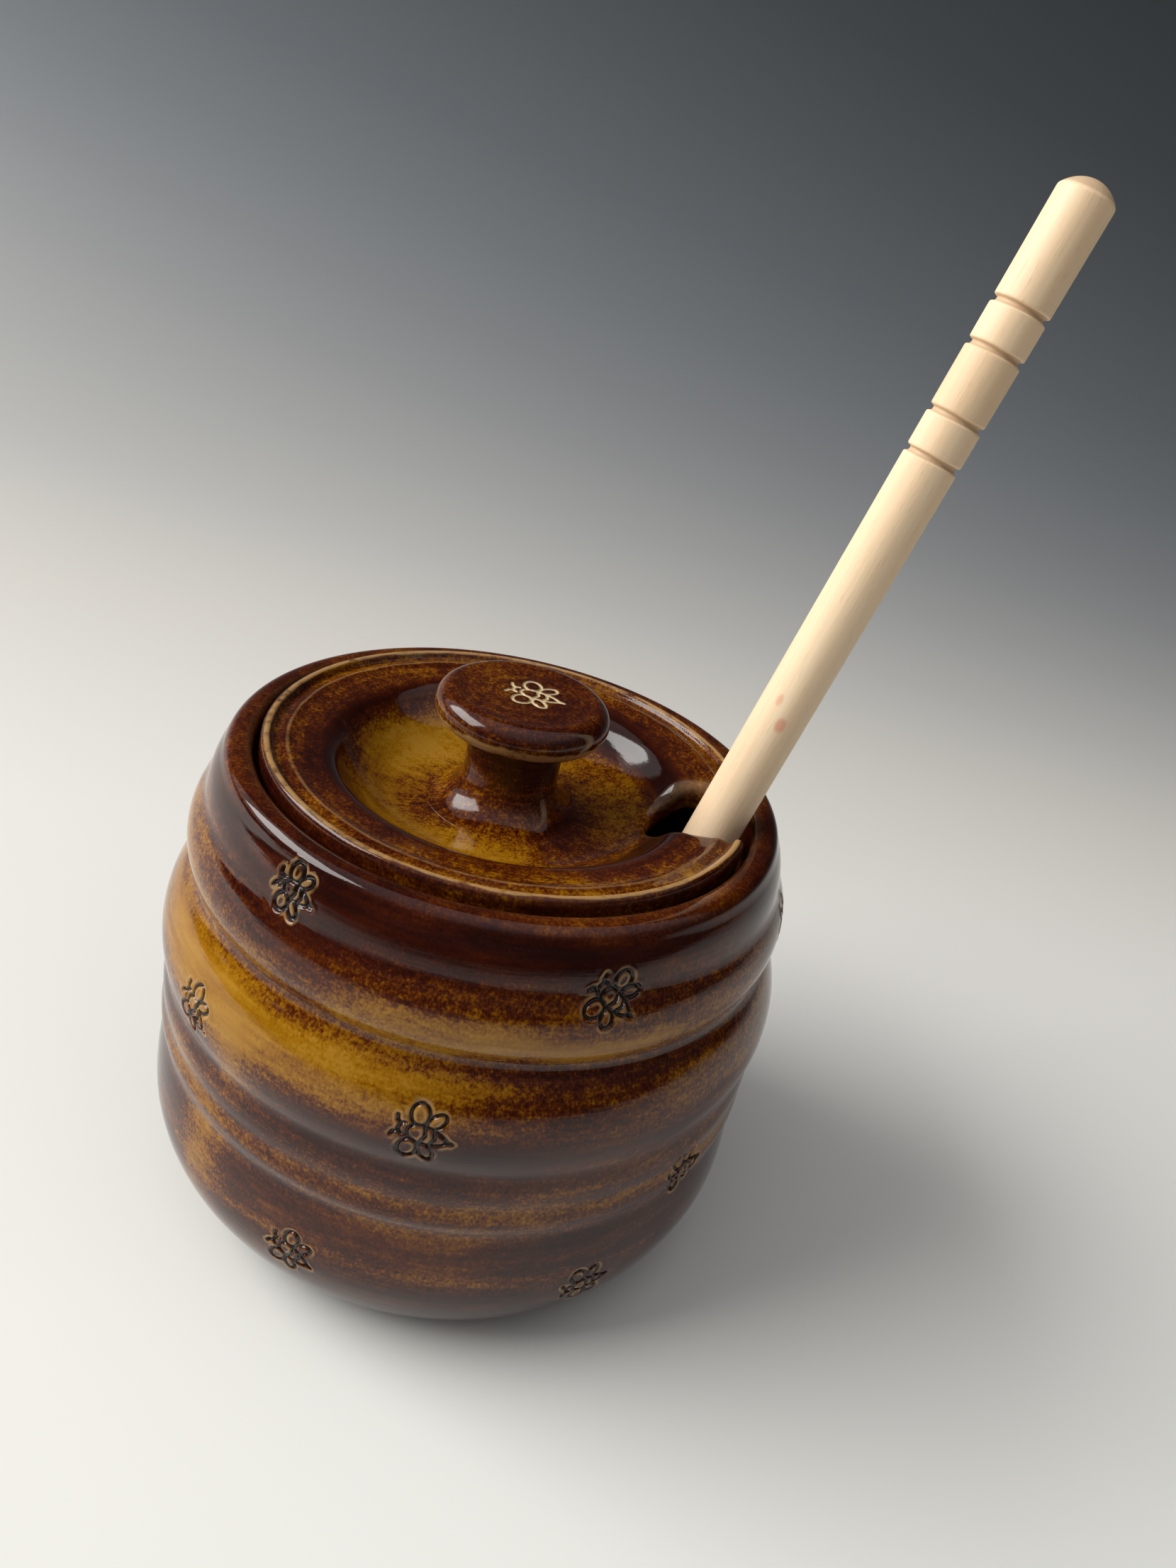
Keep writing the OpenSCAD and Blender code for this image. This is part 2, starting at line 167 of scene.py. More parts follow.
# The bee stamps
# A stamp was pressed into the soft clay at odd angles round the pot, and once into the knob, so each bee is a
# set of sunk lines a third of a millimetre wide, with a slight lip of pushed-up clay beside them.

# One bee, in millimetres, its tail towards +X: an egg-shaped body with two stripes and a sting, a blunt head
# with two feelers, and two open looped wings on each side.
turn = np.linspace(0, 2 * math.pi, 33)
body = np.stack([0.85 + 2.5 * np.cos(turn), 1.3 * np.sin(turn) * (1 - 0.25 * np.cos(turn))], 1)
stripes = [np.array([(x, -y), (x + 0.4, 0), (x, y)]) for x, y in ((0.3, 1.25), (1.5, 1.05))]
sting = np.array([(3.2, -0.25), (4.1, 0.0), (3.2, 0.25)])
head_curve = np.stack([-2.1 + 0.6 * np.cos(turn[8:25]), 0.85 * np.sin(turn[8:25])], 1)
feelers = [np.array([(-2.5, s * 0.6), (-3.1, s * 0.9), (-3.3, s * 1.6)]) for s in (-1, 1)]
BEE = [body, *stripes, sting, head_curve, *feelers]
loop = np.array([(math.sin(t / 2) ** 2, math.sin(t)) for t in turn])
WINGS = (((-0.5, 1.15), (-1.1, 4.1), 1.15), ((0.6, 1.3), (2.2, 3.5), 0.8))
for side in (-1, 1):
    for root, tip, width in WINGS:
        axis = np.array(tip) - root
        across = np.array([-axis[1], axis[0]]) / np.linalg.norm(axis)
        wing = np.array(root) + loop[:, :1] * axis + loop[:, 1:] * across * width
        BEE.append(wing * (1, side))

# Azimuth, height, direction of the tail and size of each stamp round the wall
STAMPS = [
    (-117.8, 73.0, -12, 0.92), (-59.9, 69.2, -46, 1.0), (-132.1, 47.7, -30, 1.0), (-86.7, 48.1, -10, 1.1),
    (-34.2, 32.1, 10, 1.0), (-104.9, 17.3, -24, 1.0), (-52.4, 16.0, 12, 1.0), (-4.0, 64.5, 70, 1.0),
    (42.0, 47.5, -35, 1.0), (95.0, 66.0, 20, 1.0), (150.0, 50.0, -60, 1.0), (118.0, 18.0, -15, 1.0),
]
# The outer wall from the foot's edge to the lip, and the way along it to each of its points
outer = wall[: np.argmax(wall[:, 1] > 77)]
outer = outer[outer[:, 0] > 37]
outer_run = np.r_[0, np.cumsum(np.hypot(*np.diff(outer, axis=0).T))]


def pressed(lines, place):
    """Lays the bee's lines on a surface, which place() gives as a function, and returns points and edges."""
    points, edges = [], []
    for line in lines:
        first = len(points)
        for a, b in zip(line, line[1:]):
            points += [place(*p) for p in np.linspace(a, b, max(2, int(math.dist(a, b) / 0.15)))]
        edges += [(i, i + 1) for i in range(first, len(points) - 1)]
    return points, edges


def on_wall(azimuth, height, tail, size):
    """The place on the wall of a point of the bee, for a stamp set at this azimuth, height and angle."""
    c, s = math.cos(math.radians(tail)), math.sin(math.radians(tail))
    run0 = np.interp(height, outer[:, 1], outer_run)
    radius0 = np.interp(run0, outer_run, outer[:, 0])

    def place(x, y):
        u, v = size * (x * c - y * s), size * (x * s + y * c)
        a = math.radians(azimuth) + u / radius0
        r, z = np.interp(run0 + v, outer_run, outer[:, 0]), np.interp(run0 + v, outer_run, outer[:, 1])
        return (r * math.cos(a) / 1000, r * math.sin(a) / 1000, z / 1000)

    return place


def lines_object(name, sets):
    """One object that holds the laid lines, for the pressing to measure its distances from."""
    points, edges = [], []
    for some, pairs in sets:
        edges += [(a + len(points), b + len(points)) for a, b in pairs]
        points += some
    mesh = bpy.data.meshes.new(name)
    mesh.from_pydata(points, edges, [])
    made = bpy.data.objects.new(name, mesh)
    bpy.context.scene.collection.objects.link(made)
    return made


def finer_under(target, centres, reach, cuts):
    """Splits the faces round each stamp, and puts the new points back on the turned surface."""
    bm = bmesh.new()
    bm.from_mesh(target.data)
    faces = [f for f in bm.faces if any((f.calc_center_median() - c).length < reach for c in centres)]
    edges = list({e for f in faces for e in f.edges})
    made = bmesh.ops.subdivide_edges(bm, edges=edges, cuts=cuts, use_grid_fill=True)
    heights, radii = outer[:, 1] / 1000, outer[:, 0] / 1000
    for v in {g for g in made["geom_inner"] if isinstance(g, bmesh.types.BMVert)}:
        if v.co.z < LIP_START / 1000:
            grow = np.interp(v.co.z, heights, radii) / math.hypot(v.co.x, v.co.y)
            v.co.x *= grow
            v.co.y *= grow
    bm.to_mesh(target.data)
    bm.free()
    target.data.shade_smooth()


finer_under(pot, [Vector(on_wall(*stamp)(0, 0)) for stamp in STAMPS], reach=0.0051, cuts=7)
bees = lines_object("stamp_lines", [pressed(BEE, on_wall(*stamp)) for stamp in STAMPS])


def thrown_and_stamped():
    """Geometry Nodes for thrown clay: fine throwing rings, a slow waver, and stamps pressed along lines."""
    tree = bpy.data.node_groups.new("Thrown clay", "GeometryNodeTree")
    face = tree.interface
    face.new_socket("Geometry", in_out="INPUT", socket_type="NodeSocketGeometry")
    for name, value in (
        ("Ring Depth", 0.00008), ("Waver Depth", 0.0003), ("Stamp Depth", 0.0004), ("Stamp Width", 0.00032),
        ("Seed", 3.0),
    ):
        face.new_socket(name, in_out="INPUT", socket_type="NodeSocketFloat").default_value = value
    face.new_socket("Stamp Lines", in_out="INPUT", socket_type="NodeSocketObject")
    face.new_socket("Glaze", in_out="INPUT", socket_type="NodeSocketMaterial")
    face.new_socket("Geometry", in_out="OUTPUT", socket_type="NodeSocketGeometry")
    add, link = tree.nodes.new, tree.links.new

    def math_node(operation, a, b):
        node = add("ShaderNodeMath")
        node.operation = operation
        for socket, value in zip(node.inputs, (a, b)):
            if isinstance(value, (int, float)):
                socket.default_value = value
            else:
                link(value, socket)
        return node.outputs[0]

    def stretched_noise(stretch, detail):
        scaled = add("ShaderNodeVectorMath")
        scaled.operation = "MULTIPLY"
        link(add("GeometryNodeInputPosition").outputs[0], scaled.inputs[0])
        scaled.inputs[1].default_value = stretch
        noise = add("ShaderNodeTexNoise")
        noise.noise_dimensions = "4D"
        link(scaled.outputs[0], noise.inputs["Vector"])
        link(given.outputs["Seed"], noise.inputs["W"])
        noise.inputs["Scale"].default_value = 1.0
        noise.inputs["Detail"].default_value = detail
        return noise.outputs[0]

    given = add("NodeGroupInput")
    rings = math_node("MULTIPLY", stretched_noise((9, 9, 420), 1.0), given.outputs["Ring Depth"])
    waver = math_node("MULTIPLY", stretched_noise((22, 22, 34), 0.0), given.outputs["Waver Depth"])
    lines = add("GeometryNodeObjectInfo")
    link(given.outputs["Stamp Lines"], lines.inputs["Object"])
    near = add("GeometryNodeProximity")
    near.target_element = "EDGES"
    link(lines.outputs["Geometry"], near.inputs[0])
    apart = math_node("MINIMUM", near.outputs["Distance"], 0.003)
    share = math_node("DIVIDE", apart, given.outputs["Stamp Width"])
    sunk = add("ShaderNodeMapRange")
    sunk.interpolation_type = "SMOOTHSTEP"
    link(share, sunk.inputs["Value"])
    for socket, value in zip(("From Min", "From Max", "To Min", "To Max"), (0.3, 1.1, 1.0, 0.0)):
        sunk.inputs[socket].default_value = value
    fade = math_node("POWER", math_node("SUBTRACT", share, 2.0), 2.0)
    lip = math_node("MULTIPLY", math_node("MAXIMUM", math_node("SUBTRACT", 1.0, fade), 0.0), -0.12)
    stamp = math_node("MULTIPLY", math_node("ADD", sunk.outputs[0], lip), given.outputs["Stamp Depth"])
    inwards = math_node("MULTIPLY", math_node("ADD", math_node("ADD", rings, waver), stamp), -1.0)
    offset = add("ShaderNodeVectorMath")
    offset.operation = "SCALE"
    link(add("GeometryNodeInputNormal").outputs[0], offset.inputs[0])
    link(inwards, offset.inputs["Scale"])
    keep = add("GeometryNodeStoreNamedAttribute")
    keep.data_type, keep.domain = "FLOAT", "POINT"
    keep.inputs["Name"].default_value = "stamp"
    link(given.outputs["Geometry"], keep.inputs["Geometry"])
    link(share, keep.inputs["Value"])
    move = add("GeometryNodeSetPosition")
    link(keep.outputs[0], move.inputs["Geometry"])
    link(offset.outputs[0], move.inputs["Offset"])
    whole = add("GeometryNodeRealizeInstances")
    link(move.outputs[0], whole.inputs[0])
    painted = add("GeometryNodeSetMaterial")
    link(whole.outputs[0], painted.inputs["Geometry"])
    link(given.outputs["Glaze"], painted.inputs["Material"])
    link(painted.outputs[0], add("NodeGroupOutput").inputs[0])
    return tree


clay_tree = thrown_and_stamped()


def shaped(source, tree, name, **values):
    """Runs the tree on an object with its named inputs, and returns the result as a plain mesh object."""
    modifier = source.modifiers.new("Shape", "NODES")
    modifier.node_group = tree
    for item in tree.interface.items_tree:
        key = item.name.replace(" ", "_").lower()
        if item.in_out == "INPUT" and key in values:
            modifier[item.identifier] = values[key]
    bpy.context.view_layer.update()
    result = source.evaluated_get(bpy.context.evaluated_depsgraph_get())
    mesh = bpy.data.meshes.new_from_object(result)
    source.modifiers.remove(modifier)
    bpy.data.objects.remove(source)
    mesh.name = name
    made = bpy.data.objects.new(name, mesh)
    bpy.context.scene.collection.objects.link(made)
    return made


class Nodes:
    """Short calls for building one material's tree on Object coordinates."""

    def __init__(self, name):
        self.material = bpy.data.materials.new(name)
        self.material.use_nodes = True
        self.tree = self.material.node_tree
        self.shader = self.tree.nodes["Principled BSDF"]
        self.where = self.add("ShaderNodeTexCoord").outputs["Object"]

    def add(self, kind, **settings):
        node = self.tree.nodes.new(kind)
        for key, value in settings.items():
            setattr(node, key, value)
        return node

    def put(self, value, socket):
        if isinstance(value, bpy.types.NodeSocket):
            self.tree.links.new(value, socket)
        else:
            socket.default_value = value

    def math(self, operation, *values, clamp=False):
        node = self.add("ShaderNodeMath", operation=operation, use_clamp=clamp)
        for value, socket in zip(values, node.inputs):
            self.put(value, socket)
        return node.outputs[0]

    def vector(self, operation, *values):
        node = self.add("ShaderNodeVectorMath", operation=operation)
        for value, socket in zip(values, node.inputs):
            self.put(value, socket)
        return node.outputs["Value" if operation in ("LENGTH", "DISTANCE") else "Vector"]

    def parts(self):
        """The X, Y and Z of the place on the piece."""
        node = self.add("ShaderNodeSeparateXYZ")
        self.put(self.where, node.inputs[0])
        return node.outputs

    def joined(self, x, y, z):
        """A vector of three values."""
        node = self.add("ShaderNodeCombineXYZ")
        for value, socket in zip((x, y, z), node.inputs):
            self.put(value, socket)
        return node.outputs[0]

    def noise(self, stretch, detail=3.0, rough=0.6, seed=0.0, warp=0.0, at=None):
        node = self.add("ShaderNodeTexNoise", noise_dimensions="4D")
        self.put(self.vector("MULTIPLY", at or self.where, stretch), node.inputs["Vector"])
        node.inputs["W"].default_value = seed
        node.inputs["Scale"].default_value = 1.0
        node.inputs["Detail"].default_value = detail
        node.inputs["Roughness"].default_value = rough
        node.inputs["Distortion"].default_value = warp
        return node.outputs[0]

    def ramp(self, value, stops, smooth=False):
        node = self.add("ShaderNodeValToRGB")
        line = node.color_ramp
        line.interpolation = "EASE" if smooth else "LINEAR"
        for i, (at, colour) in enumerate(stops):
            stop = line.elements[i] if i < 2 else line.elements.new(at)
            stop.position = at
            stop.color = (colour,) * 3 + (1,) if isinstance(colour, (int, float)) else (*colour, 1)
        self.put(value, node.inputs[0])
        return node.outputs[0]

    def span(self, value, low, high, start=0.0, end=1.0, smooth=True):
        node = self.add("ShaderNodeMapRange", interpolation_type="SMOOTHSTEP" if smooth else "LINEAR")
        for item, socket in zip((value, low, high, start, end), node.inputs):
            self.put(item, socket)
        return node.outputs[0]

    def band(self, value, low, high, soft):
        """One between low and high, fading over soft beyond them."""
        return self.math(
            "MULTIPLY", self.span(value, low - soft, low), self.span(value, high + soft, high), clamp=True
        )

    def mix(self, share, first, second, blend="MIX"):
        node = self.add("ShaderNodeMix", data_type="RGBA", blend_type=blend)
        self.put(share, node.inputs[0])
        for item, socket in zip((first, second), (node.inputs[6], node.inputs[7])):
            self.put((*item, 1) if isinstance(item, tuple) else item, socket)
        return node.outputs[2]

    def attribute(self, name):
        return self.add("ShaderNodeAttribute", attribute_name=name).outputs["Fac"]

    def bump(self, height, distance, strength=1.0):
        node = self.add("ShaderNodeBump")
        node.inputs["Strength"].default_value = strength
        node.inputs["Distance"].default_value = distance
        self.put(height, node.inputs["Height"])
        self.put(node.outputs[0], self.shader.inputs["Normal"])


# From where the iron glaze lies thick and dark, through red-brown that breaks into grains, to olive gold
GLAZE_COLOURS = [
    (0.0, (0.018, 0.0030, 0.0018)), (0.22, (0.042, 0.0066, 0.0020)), (0.38, (0.082, 0.0160, 0.0020)),
    (0.48, (0.125, 0.0320, 0.0018)), (0.56, (0.175, 0.0560, 0.0018)), (0.68, (0.240, 0.0930, 0.0020)),
    (0.84, (0.310, 0.1350, 0.0040)), (1.0, (0.370, 0.1800, 0.0160)),
]
DRAINED_TAN, GLAZE_IOR = (0.50, 0.29, 0.11), 1.42


def glaze(name, level, thin, seed, line_colour=(0.016, 0.010, 0.007), halo_colour=(0.46, 0.26, 0.09)):
    """Runny iron glaze: dark where it lies thick, olive gold where it runs, tan where it breaks over an edge.
    level(nodes) gives how golden it is at a place, and thin(nodes) where it has drained off."""
    g = Nodes(name)
    patches = g.noise((24, 24, 60), 3.0, 0.55, seed)
    runs = g.noise((75, 75, 380), 4.0, 0.62, seed + 1, 0.3)
    strokes = g.noise((45, 45, 1100), 3.0, 0.6, seed + 2)
    grains = g.noise((2200, 2200, 1900), 3.0, 0.62, seed + 3)
    clumps = g.noise((600, 600, 900), 3.0, 0.6, seed + 4)
    golden = level(g)
    # The grains are strongest where the glaze turns from dark to golden, and few elsewhere
    between = g.math("MULTIPLY_ADD", g.span(golden, 0.05, 0.42), g.span(golden, 0.98, 0.62), 0.18)
    fine = g.math("ADD", g.math("MULTIPLY", grains, 0.76), g.math("MULTIPLY", clumps, 0.44))
    fine = g.math("MULTIPLY", g.math("SUBTRACT", fine, 0.60), between)
    for noise, middle, share in (
        (patches, 0.5, 0.85), (runs, 0.5, 0.85), (strokes, 0.5, 0.42), (fine, 0.0, 1.45),
    ):
        golden = g.math("MULTIPLY_ADD", g.math("SUBTRACT", noise, middle), share, golden)
    colour = g.ramp(golden, GLAZE_COLOURS)
    broken = g.span(g.noise((260, 260, 260), 4.0, 0.7, seed + 5), 0.28, 0.52)
    drained = g.math("MULTIPLY", thin(g), broken, clamp=True)
    colour = g.mix(drained, colour, DRAINED_TAN)
    stamp = g.attribute("stamp")
    halo = g.band(stamp, 1.5, 2.0, 0.7)
    speckle = g.noise((420, 420, 420), 1.0, 0.5, seed + 6)
    halo = g.math("MULTIPLY", halo, g.span(speckle, 0.38, 0.62), clamp=True)
    colour = g.mix(g.math("MULTIPLY", halo, 0.55), colour, halo_colour)
    colour = g.mix(g.span(stamp, 1.0, 0.45), colour, line_colour)
    g.put(colour, g.shader.inputs["Base Color"])
    gloss = g.noise((90, 90, 200), 2.0, 0.5, seed + 7)
    g.put(g.span(gloss, 0.3, 0.8, 0.06, 0.13), g.shader.inputs["Roughness"])
    g.shader.inputs["IOR"].default_value = GLAZE_IOR
    relief = g.math("ADD", g.math("MULTIPLY", strokes, 0.6), g.math("MULTIPLY", clumps, 0.25))
    g.bump(relief, 0.00008, 0.6)
    return g.material


# How golden the pot's glaze is at each height, from the foot up to the lip, in millimetres
POT_LEVELS = [
    (0, 0.18), (9, 0.20), (14, 0.24), (18.5, 0.28), (20, 0.42), (22, 0.26), (26, 0.20), (29.2, 0.34),
    (31.5, 0.30), (33.6, 0.54), (35.6, 0.34), (38, 0.34), (40.6, 0.24), (42.5, 0.30), (45.5, 0.26),
    (48.0, 0.40), (50.0, 0.55), (52.0, 0.54), (54.6, 0.62), (56.4, 0.44), (58.2, 0.40), (59.6, 0.58),
    (62.2, 0.58), (65.5, 0.50), (68.3, 0.40), (71.0, 0.28), (74.5, 0.14), (POT_TOP, 0.28),
]
# Where it ran or pooled: azimuth, height, half width in degrees, half height in millimetres, and how much
# more golden it is there
POT_RUNS = [
    (-104, 52.5, 22, 4.5, 0.14), (-138, 51.0, 26, 8.0, 0.34), (-117, 65.5, 15, 6.0, -0.26),
    (-66, 61.8, 30, 3.4, 0.32), (-152, 64.0, 20, 9.0, 0.26), (-82, 44.8, 26, 3.6, -0.20),
    (-121, 44.0, 4.5, 6.5, 0.36), (-128, 24.0, 6, 10, 0.52), (-138, 36.0, 7, 4.0, 0.34),
    (-72, 72.5, 24, 3.5, -0.06), (60, 52.0, 32, 6.0, 0.22), (15, 63.0, 18, 7.0, -0.22),
    (105, 30.0, 7, 14, 0.34), (-58, 52.5, 16, 6.0, -0.22), (-88, 54.5, 9, 1.6, 0.12),
]


def pot_level(g):
    """How golden the pot is at a place: its level at that height, which wavers, and the runs and pools."""
    x, y, height = g.parts()
    waver = g.math("MULTIPLY_ADD", g.noise((45, 45, 20), 2.0, 0.5, 7.0), 0.0040, -0.0020)
    at = g.math("ADD", height, waver)
    level = g.ramp(g.math("DIVIDE", at, POT_TOP / 1000), [(z / POT_TOP, v) for z, v in POT_LEVELS])
    azimuth = g.math("ARCTAN2", y, x)
    for middle, high, wide, tall, more in POT_RUNS:
        a = g.math("DIVIDE", g.math("SUBTRACT", azimuth, math.radians(middle)), math.radians(wide))
        b = g.math("DIVIDE", g.math("SUBTRACT", at, high / 1000), tall / 1000)
        apart = g.math("MULTIPLY_ADD", a, a, g.math("MULTIPLY", b, b))
        level = g.math("MULTIPLY_ADD", g.math("EXPONENT", g.math("MULTIPLY", apart, -1.0)), more, level)
    return level


def radial(g):
    """Distance of the place from the Z axis."""
    return g.vector("LENGTH", g.vector("MULTIPLY", g.where, (1, 1, 0)))


def pot_thin(g):
    """A faint drained edge inside the lip."""
    radius, height = radial(g), g.parts()[2]
    inner = g.math("MULTIPLY", g.span(radius, 0.0402, 0.0392), g.span(height, 0.0755, 0.0770), clamp=True)
    return g.math("MULTIPLY", inner, 0.05)


pot_glaze = glaze("Pot glaze", pot_level, pot_thin, 11.0)
pot = shaped(pot, clay_tree, "pot_glazed", stamp_lines=bees, glaze=pot_glaze)
bpy.data.objects.remove(bees)
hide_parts("pot_body")
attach(pot, "pot")

# The lid
# Thrown upside down and turned: a bowl-shaped disc that drops onto the shelf, with a beaded edge, a second
# fine ridge and a deep dish. A notch for the dipper was cut through its edge while leather hard, and the
# glaze rounds every edge of it.
LID_BOTTOM, DISH_FLOOR, DISH_CENTRE, DISH_CURVE, UNDER_CURVE = 66.6, 71.4, (15.504, 85.4), 14.0, 18.8
EASE_CENTRE, EASE_CURVE, UNDER_EDGE, LID_EDGE = (29.9, 73.0), 5.0, (37.4, 72.7), (37.8, 73.1)
BEAD, BEAD_ROUND, VALLEY, SECOND_RIDGE, RIDGE_ROUND = (36.9, 78.5), 0.9, (36.0, 78.15), (33.8, 77.9), 0.8
under = math.degrees(math.asin((DISH_CENTRE[1] - UNDER_EDGE[1]) / UNDER_CURVE))
turning = math.degrees(math.atan2(DISH_CENTRE[1] - EASE_CENTRE[1], EASE_CENTRE[0] - DISH_CENTRE[0]))
section = [(0, LID_BOTTOM)] + arc(DISH_CENTRE, UNDER_CURVE, -90, -under) + [UNDER_EDGE, LID_EDGE]
section += arc(BEAD, BEAD_ROUND, 0, 140) + [VALLEY] + arc(SECOND_RIDGE, RIDGE_ROUND, 60, 140)
section += arc(EASE_CENTRE, EASE_CURVE, 90, 180 - turning) + arc(DISH_CENTRE, DISH_CURVE, -turning, -90)
section = softened(section + [(0, DISH_FLOOR)], 0.3)[::3]


def signed_section(r, z):
    """Distance from the lid's section, negative inside it, for arrays of points in millimetres."""
    loop = np.r_[section, [[-5, DISH_FLOOR], [-5, LID_BOTTOM]]]
    a, b = loop, np.roll(loop, -1, 0)
    out = np.empty(len(r))
    for i in range(0, len(r), 4000):
        p = np.stack([r[i : i + 4000], z[i : i + 4000]], 1)[:, None]
        t = np.clip(((p - a) * (b - a)).sum(-1) / ((b - a) ** 2).sum(-1), 0, 1)[..., None]
        near = np.sqrt((((a + t * (b - a)) - p) ** 2).sum(-1).min(1))
        above, below = a[:, 1] > p[..., 1], b[:, 1] > p[..., 1]
        cross = (above != below) & (
            p[..., 0] < a[:, 0] + (p[..., 1] - a[:, 1]) * (b[:, 0] - a[:, 0]) / (b[:, 1] - a[:, 1] + 1e-12)
        )
        out[i : i + 4000] = np.where(cross.sum(1) % 2 == 1, -near, near)
    return out


# The distances on a grid a tenth of a millimetre fine, read back between its points
GRID_STEP, GRID_LOW = 0.1, 64
GRID_R, GRID_Z = np.arange(0, 42, GRID_STEP), np.arange(GRID_LOW, 82, GRID_STEP)
grid_r, grid_z = np.meshgrid(GRID_R, GRID_Z, indexing="ij")
grid_gap = signed_section(grid_r.ravel(), grid_z.ravel()).reshape(grid_r.shape)


def section_gap(r, z):
    """Distance from the lid's section, read from the grid for arrays of points."""
    u = np.clip(r / GRID_STEP, 0, len(GRID_R) - 1.001)
    v = np.clip((z - GRID_LOW) / GRID_STEP, 0, len(GRID_Z) - 1.001)
    i, j = u.astype(int), v.astype(int)
    u, v = u - i, v - j
    low = grid_gap[i, j] * (1 - v) + grid_gap[i, j + 1] * v
    return low * (1 - u) + (grid_gap[i + 1, j] * (1 - v) + grid_gap[i + 1, j + 1] * v) * u


NOTCH_HALF, NOTCH_END, NOTCH_SIDE, NOTCH_CORNER = 7.3, 30.1, 0.9, 1.6
FAR_AWAY = 9.0


def notch_gap(x, y):
    """Distance from the notch's wall, negative in it: a slot with a round end and flared outer corners."""
    gap = np.hypot(np.maximum(NOTCH_END - x, 0), y - NOTCH_SIDE) - NOTCH_HALF
    for way in (-1, 1):
        corner_y = NOTCH_SIDE + way * (NOTCH_HALF + NOTCH_CORNER)
        corner_x = math.sqrt((LID_EDGE[0] - NOTCH_CORNER) ** 2 - corner_y**2)
        flare = NOTCH_CORNER - np.hypot(x - corner_x, y - corner_y)
        beside = (x > corner_x) & (way * (y - NOTCH_SIDE) > 0)
        turned_away = beside & (way * (y * corner_x - x * corner_y) > 0)
        gap = np.where(beside & (way * (corner_y - y) > 0), flare, gap)
        gap = np.where(turned_away, FAR_AWAY, gap)
    return gap


def lid_distance(co):
    """Distance from the lid with its notch, the two blended so that every edge between them is rounded."""
    body = section_gap(np.hypot(co[:, 0], co[:, 1]), co[:, 2])
    cut = -notch_gap(co[:, 0], co[:, 1])
    # The rounding reaches this far from an edge
    reach = 1.3
    blend = np.maximum(reach * 2 - np.abs(body - cut), 0) / (2 * reach)
    return np.maximum(body, cut) + blend**2 * reach / 2, blend


# The lid's solid is cut into even small faces, and its points are then moved onto the exact rounded surface
PROBE, MOST_MOVE = 0.02, 0.6
lid = bpy.data.objects.new("lid_rough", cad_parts["lid"].data.copy())
bpy.context.scene.collection.objects.link(lid)
weld = lid.modifiers.new("Weld", "WELD")
weld.merge_threshold = 1e-6
grid = lid.modifiers.new("Grid", "REMESH")
grid.mode = "VOXEL"
grid.voxel_size = 0.0004
bpy.context.view_layer.update()
lid_mesh = bpy.data.meshes.new_from_object(lid.evaluated_get(bpy.context.evaluated_depsgraph_get()))
bpy.data.objects.remove(lid)
co = np.array([v.co for v in lid_mesh.vertices]) * 1000
for _ in range(7):
    here, _blend = lid_distance(co)
    slope = np.stack([lid_distance(co + step)[0] - here for step in np.eye(3) * PROBE], 1) / PROBE
    size = np.maximum(np.linalg.norm(slope, axis=1, keepdims=True), 0.3)
    co -= np.clip(here[:, None], -MOST_MOVE, MOST_MOVE) * slope / size**2
lid_mesh.vertices.foreach_set("co", (co / 1000).astype(np.float32).ravel())
# The glaze reads how near a place is to the notch's edge, and that the lid has no stamp
near_edge = (np.clip(lid_distance(co)[1] * 1.2 - 0.1, 0, 1) * (co[:, 2] > 73)).astype(np.float32)
no_stamp = np.full(len(co), 9, np.float32)
for name, values in (("edge", near_edge), ("stamp", no_stamp)):
    lid_mesh.attributes.new(name, "FLOAT", "POINT").data.foreach_set("value", values)
lid_mesh.update()
lid_mesh.shade_smooth()
lid_mesh.materials.clear()
lid = bpy.data.objects.new("lid_turned", lid_mesh)
bpy.context.scene.collection.objects.link(lid)

# How golden the lid's glaze is, from the middle of the dish outwards, in millimetres
LID_REACH = 38
LID_LEVELS = [
    (0, 0.38), (8.5, 0.42), (11, 0.56), (14, 0.74), (18, 0.82), (22.5, 0.78), (25.0, 0.40), (27.5, 0.15),
    (29.5, 0.30), (32.0, 0.44), (33.8, 0.34), (35.3, 0.54), (36.5, 0.44), (LID_REACH, 0.22),
]


